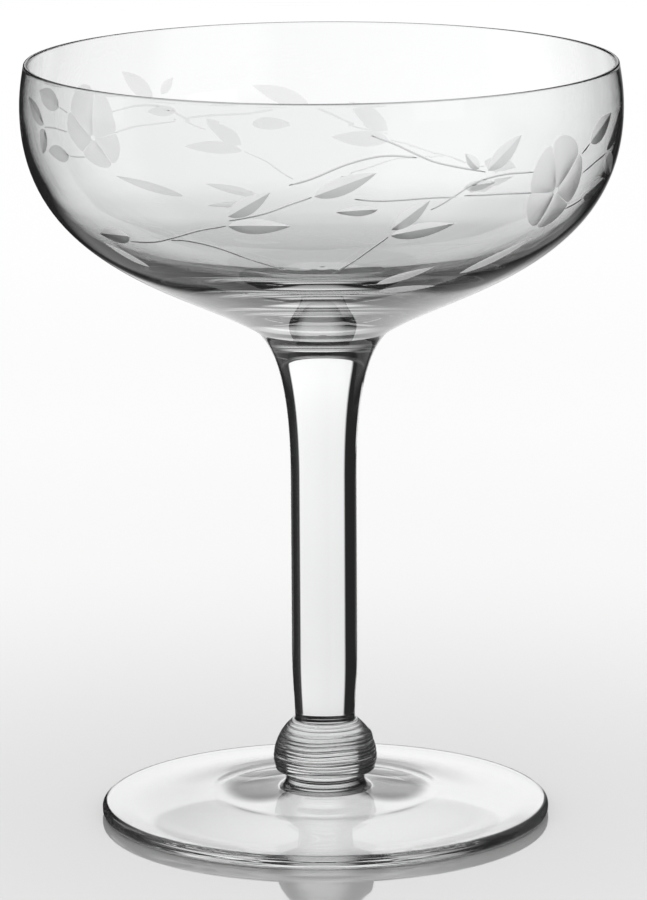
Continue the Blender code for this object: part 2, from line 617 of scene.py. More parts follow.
@dataclass(frozen=True)
class Flower:
    """A flower of scooped petals round a centre."""

    centre: Point
    radius: float = 0.0066
    upright: float = 1.2
    petals: int = 5
    turn: float = 76.0
    eye: float = 0.0005
    shoulder: float = 0.72
    gap: float = 0.98
    lift: float = 0.14
    depth: float = 0.00022
    stations: int = 16
    parts: tuple[float, ...] = (-1.0, -0.7, -0.35, 0.0, 0.35, 0.7, 1.0)

    def half_width(self, reach: float) -> float:
        """Returns half a petal's width at a distance from the flower's centre."""
        widest = self.shoulder * self.radius
        side = min(reach, widest) * math.tan(math.pi / self.petals) * self.gap
        over = max(reach - widest, 0.0) / (self.radius - widest)
        return side * math.sqrt(max(1 - over * over, 0.0))

    def strokes(self, wall: Wall) -> list[Stroke]:
        """Returns the petals' cuts in a wall."""
        centre = wall.spot(self.centre)
        stretch = wall.outline_at(centre.y)[0].x / wall.girth
        cuts = []
        for petal in range(self.petals):
            angle = math.radians(self.turn) + math.tau * petal / self.petals
            ahead = Vector((math.cos(angle), math.sin(angle)))
            aside = Vector((-ahead.y, ahead.x))
            lines = []
            for part in self.parts:
                line = []
                for station in range(self.stations + 1):
                    share = math.sin(math.pi / 2 * station / self.stations)
                    reach = self.eye + (self.radius - self.eye) * share
                    spot = ahead * reach + aside * part * self.half_width(reach)
                    rise = spot.y + self.lift * spot.length_squared / self.radius
                    flat = centre + Vector((spot.x / stretch, -rise * self.upright))
                    line.append((flat, self.depth * (1 - part * part) * swell(share)))
                lines.append(line)
            cuts.append(Stroke(lines, (Face.PALE,) * (len(self.parts) - 1), ridged=False))
        return cuts


@dataclass(frozen=True)
class Spray:
    """The wheel-cut spray on one half of the bowl, in degrees from the front and millimetres of height."""

    turn: float = 0.0
    shift: float = 0.0
    faint: bool = False
    sink: float = 1.0
    first_angle: float = -82.5
    grid: float = 0.0014
    flower: Flower = Flower((50.5, 108.0))
    leaves: tuple[Leaf, ...] = (
        Leaf((60.5, 114.6), (70.5, 118.2), 0.0034),
        Leaf((69, 112.4), (79, 118.4), 0.0032),
        Leaf((69.4, 111.4), (77.5, 107.6), 0.0032),
        Leaf((63, 105.4), (72.5, 107.4), 0.0034),
        Leaf((32, 113), (39.5, 118), 0.0030),
        Leaf((30, 113.4), (27, 116), 0.0018),
        Leaf((27, 110.6), (34, 111), 0.0017),
        Leaf((-1.5, 110.2), (10, 113.8)),
        Leaf((13.4, 103.4), (26.5, 104.8)),
        Leaf((13.4, 104.4), (20.5, 109)),
        Leaf((-18.4, 105), (-6, 105.3)),
        Leaf((-18, 106.6), (-9.5, 110.8)),
        Leaf((-43, 101.4), (-53, 101), 0.0032),
        Leaf((-44, 96), (-54, 99.5), 0.0022, frosted=True),
        Leaf((13, 94.5), (25.5, 97.2), 0.0024, frosted=True),
        Leaf((14, 93), (30, 93.2), 0.0022, frosted=True),
        Leaf((34, 95.3), (50, 100.3), 0.0026, frosted=True),
        Leaf((10.5, 107.9), (2.5, 107.6), 0.0018),
    )
    stalks: tuple[Stalk, ...] = (
        Stalk(((57.4, 113.2), (60.2, 114.5))),
        Stalk(((59, 110), (64, 111.2), (68.8, 111.9))),
        Stalk(((56.6, 104.4), (60, 104.8), (62.7, 105.3))),
        Stalk(((43, 111.8), (36, 112.1), (30, 111.4), (26.4, 109.9), (23.3, 108.4), (20.8, 107.4))),
        Stalk(((43.5, 108.4), (37, 108.9), (27.4, 109.3))),
        Stalk(((25.6, 109.2), (20.8, 109.4), (11.4, 109.3), (6, 109.7))),
        Stalk(((9, 119.6), (13, 118.3), (18, 116.2), (22, 114.8), (31.5, 112.8))),
        Stalk(((-6, 112), (-2, 113), (4, 115.1), (9, 116.2), (13, 116.4), (17.4, 115.9))),
        Stalk(((-18, 105.9), (-11, 107.3), (-6, 108.9), (-1.9, 110.1))),
        Stalk(((13, 103.2), (10, 101.3), (6, 98.7), (3, 97.2))),
        Stalk(((-43.5, 100.6), (-37, 101.1), (-32, 102.1), (-24.5, 104), (-18.8, 105))),
        Stalk(((-32, 101.8), (-29, 102), (-24.5, 101.6), (-20.5, 100.8), (-15, 99.2), (-8.5, 97.6))),
    )

    def strokes(self, wall: Wall) -> list[Stroke]:
        """Returns every cut of the spray in a wall."""
        figures = (self.flower, *self.leaves, *self.stalks)
        return [cut for figure in figures for cut in figure.strokes(wall)]

    def border(self, wall: Wall, steps: int) -> list[Vector]:
        """Goes round half of the cut band.

        Args:
            wall: The half of the band, rolled out.
            steps: Number of facets round the whole bowl.

        Returns:
            The flat points of its border, in order.
        """
        foot = wall.lengths[-1]
        start = math.radians(self.first_angle)
        turns = [(start + math.tau * step / steps) * wall.girth for step in range(steps // 2 + 1)]
        rows = round(foot / self.grid)
        runs = [foot * row / rows for row in range(1, rows)]
        border = [Vector((x, 0.0)) for x in turns] + [Vector((turns[-1], run)) for run in runs]
        border += [Vector((x, foot)) for x in turns[::-1]] + [Vector((turns[0], run)) for run in runs[::-1]]
        return border

    @staticmethod
    def inside(flat: Vector, outline: list[Vector]) -> bool:
        """Tells whether a flat point lies within an outline of flat points."""
        within = False
        for start, end in zip(outline, outline[1:] + outline[:1]):
            if (start.y > flat.y) != (end.y > flat.y):
                if flat.x < start.x + (end.x - start.x) * (flat.y - start.y) / (end.y - start.y):
                    within = not within
        return within

    def uncut(self, wall: Wall, border: list[Vector], cuts: list[Stroke]) -> list[Vector]:
        """Fills the band between the cuts.

        Args:
            wall: The half of the band, rolled out.
            border: Flat points round it.
            cuts: The cuts to leave out.

        Returns:
            The points of an even grid that lie in no cut.
        """
        outlines = [cut.outline() for cut in cuts]
        limits = [(*map(min, zip(*outline)), *map(max, zip(*outline))) for outline in outlines]
        left, right, foot = border[0].x, max(flat.x for flat in border), wall.lengths[-1]
        columns, rows = round((right - left) / self.grid), round(foot / self.grid)
        points = []
        for column in range(1, columns):
            for row in range(1, rows):
                flat = Vector((left + (right - left) * column / columns, foot * row / rows))
                if not any(
                    near <= flat.x <= far and high <= flat.y <= low and self.inside(flat, outline)
                    for (near, high, far, low), outline in zip(limits, outlines)
                ):
                    points.append(flat)
        return points

    def cut(self, shape: Shape, wall: Wall, steps: int) -> None:
        """Adds half of the cut band of the wall to a bowl.

        Args:
            shape: The turned bowl, open where the band goes.
            wall: The half of the band, rolled out.
            steps: Number of facets round the whole bowl.
        """
        border = self.border(wall, steps)
        cuts = self.strokes(wall)
        flats = border + self.uncut(wall, border, cuts)
        depths = [0.0] * len(flats)
        faces, kinds = [], []
        for number, cut in enumerate(cuts):
            starts = []
            for line in cut.lines:
                starts.append(len(flats))
                flats += [point for point, _ in line]
                depths += [depth for _, depth in line]
            count = len(cut.lines[0])
            for strip, (near, far) in enumerate(zip(starts, starts[1:])):
                face = [*range(near, near + count), *range(far + count - 1, far - 1, -1)]
                area = sum(flats[a].cross(flats[b]) for a, b in zip(face, face[1:] + face[:1]))
                faces.append(face if area > 0 else face[::-1])
                flat = FLATS_PER_CUT * number + (strip if cut.ridged else 0) + 1
                kinds.append((Face.FAINT if self.faint else cut.faces[strip], flat))
        ring = range(len(border))
        edges = list(zip(ring, [*ring[1:], 0]))
        spots, _, parts, sources, _, owners = delaunay_2d_cdt(flats, edges, faces, 0, SAME_SPOT)
        layer = shape.faces.layers.int.get(FLAT_LAYER) or shape.faces.layers.int.new(FLAT_LAYER)
        verts = []
        for spot, source in zip(spots, sources):
            depth = max((depths[index] for index in source), default=0.0)
            verts.append(shape.verts.new(wall.solid(spot, depth * self.sink)))
        for part, owner in zip(parts, owners):
            face = shape.faces.new([verts[index] for index in part])
            if owner:
                kind, face[layer] = kinds[owner[0]]
                face.material_index = kind.value


class GlassPiece(ABC):
    """A sub-assembly of the glass, turned as one closed piece that stands for one CAD node."""

    @abstractmethod
    def build(self) -> bpy.types.Object:
        """Returns the sub-assembly's piece."""

    def dress(self, node: str, materials: list[bpy.types.Material]) -> None:
        """Builds the piece, gives it its finishes and puts it in its CAD node's place.

        Args:
            node: Name of the CAD node it stands for.
            materials: One material for each kind of face, in the order of Face.
        """
        piece = self.build()
        for material in materials:
            piece.data.materials.append(material)
        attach(piece, BODY)
        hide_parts(node)
        LOG.info("%s: %d faces", piece.name, len(piece.data.polygons))


@dataclass
class Bowl(GlassPiece):
    """Thin blown saucer bowl on a thick base, with a wheel-cut spray on its wall."""

    radius: float
    rim_z: float
    seam_radius: float
    seam_z: float
    sprays: tuple[Spray, ...] = (
        Spray(),
        Spray(turn=180.0, shift=4.0, faint=True, sink=0.5, stalks=Spray.stalks[:6] + Spray.stalks[8:]),
    )
    seam_depth: float = 0.0018
    rim_draw_in: float = 0.0007
    rim_wall: float = 0.0007
    lip_lean: float = 0.55
    lip_pull: float = 0.4
    shoulder_drop: float = 0.0073
    wall: float = 0.00066
    wall_growth: float = 0.0007
    growth_power: float = 1.5
    thin_to: float = 0.0980
    base_thickness: float = 0.0090
    side_pull: float = 0.0250
    base_pull: float = 0.0147
    base_slope: float = math.radians(33)
    inner_side_pull: float = 0.0120
    inner_base_pull: float = 0.0140
    band_top: float = 0.1215
    band_foot: float = 0.0905
    steps: int = 336

    def lip(self, inset: float = 0.0) -> tuple[Point, Point, Point]:
        """Finds where a side of the wall runs into the rim's rounding.

        Args:
            inset: Distance of that side from the outer one.

        Returns:
            The point, and the pulls of the curve at it and at the shoulder below.
        """
        rounding = self.rim_wall / 2
        rise = self.shoulder_drop - rounding
        end = (self.radius - self.rim_draw_in - inset, self.rim_z - rounding)
        return end, (self.lip_lean * self.rim_draw_in, -rise / 3), (0.0, self.lip_pull * rise)

    def side(self) -> list[Point]:
        """Returns the outside's outline from the shoulder down to the seam."""
        shoulder = (self.radius, self.rim_z - self.shoulder_drop)
        slope = (self.base_pull * math.cos(self.base_slope), self.base_pull * math.sin(self.base_slope))
        return bezier(shoulder, (0, -self.side_pull), slope, (self.seam_radius, self.seam_z), count=140)

    def outside(self) -> list[Point]:
        """Returns the outside's outline from the rim down to the seam."""
        end, lean, pull = self.lip()
        side = self.side()
        return bezier(end, lean, pull, side[0], count=24) + side[1:]

    def inside(self) -> list[Run]:
        """Returns the inside's outline from its lowest point to the top of the rim."""
        side = [Vector(point) for point in self.side()]
        wall = [(side[0].x - self.wall, side[0].y)]
        for above, point, below in zip(side, side[1:], side[2:]):
            ahead = (below - above).normalized()
            drop = (side[0].y - point.y) / (side[0].y - self.thin_to)
            thickness = self.wall + self.wall_growth * drop**self.growth_power
            wall.append((point.x + ahead.y * thickness, point.y - ahead.x * thickness))
            if point.y < self.thin_to:
                break
        low = (0.0, self.seam_z - self.seam_depth + self.base_thickness)
        ahead = (Vector(wall[-1]) - Vector(wall[-2])).normalized()
        side_pull = tuple(ahead * self.inner_side_pull)
        hollow = bezier(low, (self.inner_base_pull, 0), side_pull, wall[-1], count=90)
        end, lean, pull = self.lip(self.rim_wall)
        rounding = self.rim_wall / 2
        rim = arc((end[0] + rounding, end[1]), (rounding, rounding), math.pi, 0, count=13)
        return [Run(hollow + wall[-2::-1]), Run(bezier(wall[0], pull, lean, end, count=16)), Run(rim)]

    def build(self) -> bpy.types.Object:
        """Returns the bowl, turned and cut."""
        outside = self.outside()
        top = next(i for i, point in enumerate(outside) if point[1] < self.band_top)
        foot = next(i for i, point in enumerate(outside) if point[1] < self.band_foot)
        seam = Run(dish(self.seam_radius, self.seam_z, self.seam_depth, count=8), Face.FUSED)
        shape = turned(self.inside() + [Run(outside[: top + 1]), Run(outside[foot:]), seam], self.steps)
        for spray in self.sprays:
            wall = Wall(outside[top : foot + 1], self.radius, spray.turn, spray.shift)
            spray.cut(shape, wall, self.steps)
        bowl = finished("bowl_blown", shape)
        self.smooth_wall(bowl.data, wall)
        return bowl

    @staticmethod
    def smooth_wall(mesh: bpy.types.Mesh, wall: Wall) -> None:
        """Gives the band between the cuts the smooth normals of the turned wall.

        Args:
            mesh: The bowl's mesh.
            wall: Either half of the band.
        """
        heights = [-point[1] for point in wall.outline]
        normals = [Vector()] * len(mesh.loops)
        for polygon in mesh.polygons:
            corners = [mesh.vertices[index].co for index in polygon.vertices]
            if polygon.material_index != Face.POLISHED.value or len(corners) != 3:
                continue
            for loop, corner in zip(polygon.loop_indices, corners):
                below = min(max(bisect_right(heights, -corner.z), 1), len(heights) - 2)
                ahead = Vector(wall.outline[below + 1]) - Vector(wall.outline[below - 1])
                outward = Vector((corner.x, corner.y, 0.0)).normalized() * -ahead.y
                normals[loop] = (outward + Vector((0.0, 0.0, ahead.x))).normalized()
        mesh.normals_split_custom_set(normals)


@dataclass
class Stem(GlassPiece):
    """Solid drawn stem, flared under the bowl and necked above the foot."""

    seam_radius: float
    seam_z: float
    end_z: float
    collar_top_z: float
    seam_depth: float = 0.0018
    radius: float = 0.0054
    neck_radius: float = 0.00495
    neck_length: float = 0.0120
    end_depth: float = 0.0012
    flare_length: float = 0.0240
    flare_slope: float = math.radians(40)
    flare_lip_pull: float = 0.0042
    flare_shank_pull: float = 0.0142
    shank_pull: float = 0.001
    steps: int = 128

    def outline(self) -> list[Run]:
        """Returns the stem's outline from the bowl's seam down to its end in the foot."""
        slope = (math.cos(self.flare_slope), math.sin(self.flare_slope))
        lip_pull = (-self.flare_lip_pull * slope[0], -self.flare_lip_pull * slope[1])
        lip = (self.seam_radius, self.seam_z)
        flare_end = (self.radius, self.seam_z - self.flare_length)
        neck_top = (self.radius, self.collar_top_z + self.neck_length)
        neck = (self.neck_radius, self.collar_top_z)
        neck_pulls = (0, -self.neck_length / 2), (0, self.neck_length / 4)
        return [
            Run(dish(*lip, self.seam_depth, count=8), Face.FUSED),
            Run(bezier(lip, lip_pull, (0, self.flare_shank_pull), flare_end, count=60)),
            Run(bezier(flare_end, (0, -self.shank_pull), (0, self.shank_pull), neck_top, count=40)),
            Run(bezier(neck_top, *neck_pulls, neck, count=24)),
            Run([neck, (self.neck_radius, self.end_z)], Face.FUSED),
            Run(dish(self.neck_radius, self.end_z, self.end_depth, count=6), Face.FUSED),
        ]

    def build(self) -> bpy.types.Object:
        """Returns the stem, turned."""
        return finished("stem_drawn", turned(self.outline(), self.steps))


@dataclass(frozen=True)
class Ring:
    """A groove that the tool pressed round the collar."""

    z: float
    depth: float = 0.00012
    width: float = 0.00012

    def press(self, z: float) -> float:
        """Returns how far the groove reaches in at a height."""
        return self.depth * math.exp(-(((z - self.z) / self.width) ** 2))


@dataclass
class Collar(GlassPiece):
    """Bit of glass wound round the stem's neck and tooled into rings."""

    base_z: float
    top_z: float
    bore: float
    waist_radius: float = 0.0064
    radius: float = 0.0085
    equator_z: float = 0.0092
    equator_pull: float = 0.0007
    lip_radius: float = 0.0082
    lip_z: float = 0.0077
    lip_pull: float = 0.0004
    lip_round: float = 0.0005
    lip_turn: float = 0.22 * math.pi
    under_pulls: Pulls = ((-0.0004, -0.0004), (0.0, 0.0005))
    fillet_z: float = 0.0156
    fillet_pulls: Pulls = ((0.0001, -0.0007), (-0.0005, 0.0003))
    rings: tuple[Ring, ...] = (
        Ring(0.0157, 0.00006, 0.00009),
        Ring(0.0153, 0.00006, 0.00009),
        Ring(0.0148, 0.00006, 0.00009),
        Ring(0.0140),
        Ring(0.0132, 0.00014),
        Ring(0.0127),
        Ring(0.01195, 0.00018, 0.00015),
        Ring(0.0113, 0.00006),
        Ring(0.0107, 0.00005),
        Ring(0.0101, 0.00024, 0.00016),
        Ring(0.0092, 0.00008),
        Ring(0.0086, 0.00008),
    )
    sway: float = 0.00012
    sway_waves: tuple[tuple[float, int, float], ...] = ((1.0, 2, 0.8), (0.5, 5, 0.0))
    lap: float = 0.00040
    lap_angle: float = math.radians(80)
    lap_z: float = 0.0134
    lap_reach: Point = (0.35, 0.0007)
    steps: int = 256

    def ringed(self, point: Point) -> Point:
        """Returns a point of the outline, pressed in by the rings near it."""
        return point[0] - sum(ring.press(point[1]) for ring in self.rings), point[1]

    def outline(self) -> list[Run]:
        """Returns the collar's outline from its top, down its rings, to the foot and up its bore."""
        top, base = (self.bore, self.top_z), (self.bore, self.base_z)
        equator, lip_top = (self.radius, self.equator_z), (self.lip_radius, self.lip_z)
        waist = (self.waist_radius, self.base_z)
        crown_height = (self.top_z - self.equator_z) / math.sqrt(1 - (self.bore / self.radius) ** 2)
        crown_start = math.asin((self.fillet_z - self.equator_z) / crown_height)
        crown = arc((0, self.equator_z), (self.radius, crown_height), crown_start, 0, count=200)
        fillet = bezier(top, *self.fillet_pulls, crown[0], count=60)
        turn_in = bezier(equator, (0, -self.equator_pull), (0, self.lip_pull), lip_top, count=50)
        tooled = fillet[1:] + crown[1:] + turn_in[1:-1]
        side = fillet[:1] + [self.ringed(point) for point in tooled] + turn_in[-1:]
        rounding = (self.lip_round, self.lip_round)
        lip = arc((self.lip_radius - self.lip_round, self.lip_z), rounding, 0, -self.lip_turn, count=6)
        under = bezier(lip[-1], *self.under_pulls, waist, count=12)
        seams = [Run([waist, base], Face.FUSED), Run([base, top], Face.FUSED)]
        return [Run(side), Run(lip), Run(under), *seams]

    def wind(self, shape: Shape) -> None:
        """Lets the rings wander as hand-wound ones do, and leaves the lap where the winding ended.

        Args:
            shape: The turned collar, which is changed.
        """
        for vert in shape.verts:
            radius = math.hypot(vert.co.x, vert.co.y)
            rise = (vert.co.z - self.lip_z) / (self.top_z - self.lip_z)
            if not 0 < rise < 1 or radius < self.bore + MERGE_DISTANCE:
                continue
            angle = math.atan2(vert.co.x, -vert.co.y)
            wander = sum(part * math.sin(waves * angle + start) for part, waves, start in self.sway_waves)
            apart = (math.remainder(angle - self.lap_angle, math.tau) / self.lap_reach[0]) ** 2
            apart += ((vert.co.z - self.lap_z) / self.lap_reach[1]) ** 2
            growth = 1 + self.lap * math.exp(-apart) / radius
            vert.co.x *= growth
            vert.co.y *= growth
            vert.co.z += self.sway * wander * math.sin(math.pi * rise) ** 2

    def build(self) -> bpy.types.Object:
        """Returns the collar, turned and wound."""
        shape = turned(self.outline(), self.steps)
        self.wind(shape)
        return finished("collar_wound", shape)


@dataclass
class Foot(GlassPiece):
    """Flat round foot with a raised pad and a boss under the collar."""

    radius: float
    boss_z: float
    boss_radius: float
    socket_radius: float
    socket_depth: float = 0.0012
    edge: float = 0.0022
    edge_round: float = 0.0009
    boss_flare: float = 0.0014
    boss_foot_z: float = 0.0044
    boss_pulls: Pulls = ((0.0, -0.0016), (-0.0009, 0.0002))
    pad_radius: float = 0.0185
    pad_z: float = 0.00395
    pad_pulls: Pulls = ((0.0033, -0.0002), (-0.0033, 0.0001))
    top_pulls: Pulls = ((0.0050, -0.00052), (-0.0060, 0.0))
    bearing_inner: float = 0.0330
    under_pulls: Pulls = ((-0.0050, 0.0), (0.0045, -0.00047))
    hollow_at_pad: float = 0.0015
    hollow: float = 0.0025
    hollow_pulls: Pulls = ((-0.0060, 0.0004), (0.0070, 0.0))
    steps: int = 256

    def outline(self) -> list[Run]:
        """Returns the foot's outline from its socket, over the pad and edge, to the hollow beneath."""
        edge_radius = self.radius - self.edge_round
        rounding = (self.edge_round, self.edge_round)
        boss_top = (self.boss_radius, self.boss_z)
        boss_foot = (self.boss_radius + self.boss_flare, self.boss_foot_z)
        pad_edge = (self.pad_radius, self.pad_z)
        under_pad = (self.pad_radius, self.hollow_at_pad)
        bearing_edge = (self.bearing_inner, 0.0)
        socket = dish(self.socket_radius, self.boss_z, self.socket_depth, count=6)
        land = [(self.socket_radius, self.boss_z), boss_top]
        upper = arc((edge_radius, self.edge - self.edge_round), rounding, math.pi / 2, 0, count=12)
        lower = arc((edge_radius, self.edge_round), rounding, 0, -math.pi / 2, count=12)
        polished = (
            bezier(boss_top, *self.boss_pulls, boss_foot, count=20),
            bezier(boss_foot, *self.pad_pulls, pad_edge, count=24),
            bezier(pad_edge, *self.top_pulls, (edge_radius, self.edge), count=40),
            upper,
            [upper[-1], lower[0]],
            lower,
            [(edge_radius, 0.0), bearing_edge],
            bezier(bearing_edge, *self.under_pulls, under_pad, count=24),
            bezier(under_pad, *self.hollow_pulls, (0.0, self.hollow), count=20),
        )
        return [Run(socket, Face.FUSED), Run(land, Face.FUSED)] + [Run(points) for points in polished]

    def build(self) -> bpy.types.Object:
        """Returns the foot, turned."""
        return finished("foot_disc", turned(self.outline(), self.steps))


class Sight(Enum):
    """How light has to have come to the eye for a lit panel to count."""

    ANY = "any"
    THROUGH = "bent through the glass without a reflection"
    FEW = "reflected once at most"
    MIRROR = "reflected without passing through the glass"


@dataclass(frozen=True)
class Panel:
    """A lit panel of the studio, given by where it lies as seen from the glass, in degrees."""

    left: float
    right: float
    low: float
    high: float
    level: float = 1.0
    soft: float = 2.0
    sight: Sight = Sight.ANY


@dataclass
class Studio:
    """Pale table, white surroundings, and the dark room with lit panels that the glass itself sees."""

    table_size: float = 3.0
    table_facets: int = 96
    # The table's colour by distance from the glass: painted shade near the glass, white further off.
    table_shade_levels: Stops = ((0.03, 0.64), (0.20, 0.89), (0.35, 0.925), (0.60, 1.0))
    table_roughness: float = 0.06
    table_specular: float = 0.9
    coat_roughness: float = 0.02
    # The disc under the foot glows as painted light; shade_level, shade_centre, shade_reach and shade_edge
    # give its two painted shadows beside the collar.
    under_radius: float = 0.042
    under_drop: float = 0.0002
    under_glow_level: float = 0.90
    shade_level: float = 0.03
    shade_centre: Point = (0.0112, 0.0105)
    shade_reach: Point = (0.0060, 0.0125)
    shade_edge: Point = (0.40, 1.30)
    sheet_distance: float = 0.129
    sheet_left: float = -0.0675
    sheet_right: float = 0.092
    sheet_low: float = -0.080
    sheet_high: float = 0.140
    sheet_soft: float = 0.006
    sheet_blur: float = 0.030
    sheet_levels: Stops = ((-0.07, 0.45), (-0.03, 0.70), (0.00, 0.88), (0.03, 0.94), (0.09, 1.06))
    bowl_levels: Stops = ((0.00, 0.60), (0.045, 0.72), (0.06, 0.90), (0.08, 1.06))
    sheet_sides: Stops = ((-0.05, 0.97), (0.06, 1.05))
    sheet_reflected: float = 0.58
    foot_reflected: float = 0.96
    foot_band: Point = (0.02, 0.05)
    mirror_reach: float = 0.050
    room_level: float = 0.02
    bounces: int = 64
    panels: tuple[Panel, ...] = (
        Panel(-75, 75, -91, -24, level=0.45, soft=5.0, sight=Sight.FEW),
        Panel(-181, 181, -91, -55, level=0.20, soft=5.0, sight=Sight.FEW),
        Panel(-181, -64, -91, -16, level=0.6, soft=8.0, sight=Sight.THROUGH),
        Panel(64, 181, -91, -16, level=0.6, soft=8.0, sight=Sight.THROUGH),
        Panel(-45, 45, -70, -22, level=0.76, soft=8.0, sight=Sight.THROUGH),
        Panel(-80, 80, 24, 58, level=0.12, soft=5.0),
        Panel(-106, -74, -60, 12, level=0.45, soft=8.0, sight=Sight.FEW),
        Panel(111, 159, -60, 12, level=0.5, soft=8.0, sight=Sight.FEW),
        Panel(-114, -66, -8, 12, sight=Sight.THROUGH),
        Panel(-69, -21, -34, -21, sight=Sight.THROUGH),
        Panel(111, 159, -23, -7, sight=Sight.THROUGH),
        Panel(-9, 9, -2, 22, sight=Sight.MIRROR),
        Panel(-100, -80, -2, 12, sight=Sight.MIRROR),
        Panel(-56, -34, 14, 36, sight=Sight.MIRROR),
        Panel(124, 146, 4, 26, sight=Sight.MIRROR),
    )

    def surroundings(self) -> None:
        """Makes the world: plain white light, but a dark room with lit panels where glass looks into it."""
        world = bpy.data.worlds.new("studio")
        bpy.context.scene.world = world
        world.cycles.sampling_method = "NONE"
        graph = Graph(world)
        x, y, z = graph.axes("Generated")
        azimuth = graph.maths("ARCTAN2", x, y)
        elevation = graph.maths("ARCSINE", z)
        path = graph.light_path()
        sights = {
            Sight.THROUGH: graph.maths("LESS_THAN", path["Glossy Depth"], ANY_BOUNCE),
            Sight.FEW: graph.maths("LESS_THAN", path["Glossy Depth"], SECOND_BOUNCE),
            Sight.MIRROR: graph.maths("LESS_THAN", path["Transmission Depth"], ANY_BOUNCE),
        }
        light: Value = self.room_level
        for panel in self.panels:
            left, right, low, high, soft = map(
                math.radians, (panel.left, panel.right, panel.low, panel.high, panel.soft)
            )
            across = graph.window(azimuth, left, right, soft)
            upright = graph.window(elevation, low, high, soft)
            shown = graph.times(across, upright, panel.level, sights.get(panel.sight, 1.0))
            light = graph.maths("MAXIMUM", light, shown)
        bent = graph.maths("MAXIMUM", path["Is Glossy Ray"], path["Is Transmission Ray"])
        strength = graph.mix(bent, 1.0, light)
        graph.feed(graph.nodes["Background"], {"Color": WHITE, "Strength": strength})

    @staticmethod
    def stage_piece(name: str, shape: Shape) -> tuple[bpy.types.Object, Graph]:
        """Makes a piece of the studio from a finished shape.

        Args:
            name: Name of the piece.
            shape: Its shape, which is used up.

        Returns:
            The piece, and the graph of its one material.
        """
        piece = placed(name, shape)
        material = bpy.data.materials.new(name)
        piece.data.materials.append(material)
        return piece, Graph(material)

    def disc(self, radius: float, drop: float = 0.0) -> Shape:
        """Returns a round flat shape of a radius, dropped below the origin."""
        shape = bmesh.new()
        bmesh.ops.create_circle(shape, cap_ends=True, segments=self.table_facets, radius=radius)
        bmesh.ops.translate(shape, vec=(0, 0, -drop), verts=shape.verts)
        return shape

    def table(self) -> None:
        """Makes the pale glossy table, painted with shade: its colour is darker near the glass and fades to
        white away from it.
        """
        table, graph = self.stage_piece("table", self.disc(self.table_size))
        reach = graph.add("ShaderNodeVectorMath", {0: graph.place()})
        reach.operation = "LENGTH"
        # Painted shade: the table's colour darkens towards the glass.
        graph.shade({"Base Color": graph.levels(reach.outputs["Value"], self.table_shade_levels)})
        graph.shade({"Roughness": self.table_roughness, "Specular IOR Level": self.table_specular})
        graph.shade({"Coat Weight": 1.0, "Coat Roughness": self.coat_roughness})
        table.visible_transmission = False
        table.visible_glossy = False

    def glowing_table_under_foot(self) -> None:
        """Makes a glowing disc that stands for the table seen through the foot: its glow is painted light,
        and its shades on both sides of the collar are painted shadows.
        """
        shape = self.disc(self.under_radius, self.under_drop)
        piece, graph = self.stage_piece("glowing_table_under_foot", shape)
        x, y, _ = graph.axes()
        away: Value = 0.0
        for axis, centre, reach in zip((graph.maths("ABSOLUTE", x), y), self.shade_centre, self.shade_reach):
            share = graph.maths("DIVIDE", graph.maths("SUBTRACT", axis, centre), reach)
            away = graph.maths("ADD", away, graph.times(share, share))
        # Painted shadows: the glow falls from the table's level to the shade level beside the collar.
        level = graph.levels(away, tuple(zip(self.shade_edge, (self.shade_level, self.under_glow_level))))
        through = graph.maths("LESS_THAN", graph.light_path()["Glossy Depth"], ANY_BOUNCE)
        # The disc's glow is painted light, seen only by rays that passed straight through the glass.
        graph.glow(graph.times(level, through))
        piece.visible_camera = False
        piece.visible_diffuse = False
        piece.visible_glossy = False
        piece.visible_shadow = False

    def sheet(self) -> None:
        """Stands a lit sheet close behind the glass, which only the glass sees."""
        shape = bmesh.new()
        bmesh.ops.create_grid(shape, x_segments=1, y_segments=1, size=0.5)
        margin = 2 * self.sheet_blur
        width = self.sheet_right - self.sheet_left + 2 * margin
        middle_x = (self.sheet_left + self.sheet_right) / 2
        middle_z = (self.sheet_low + self.sheet_high) / 2
        bmesh.ops.scale(shape, vec=(width, self.sheet_high - self.sheet_low, 1.0), verts=shape.verts)
        bmesh.ops.rotate(shape, verts=shape.verts, matrix=Matrix.Rotation(math.pi / 2, 3, "X"))
        bmesh.ops.translate(shape, vec=(middle_x, self.sheet_distance, middle_z), verts=shape.verts)
        piece, graph = self.stage_piece("lit_sheet", shape)
        self.light_sheet(graph)
        piece.visible_camera = False
        piece.visible_diffuse = False
        piece.visible_shadow = False

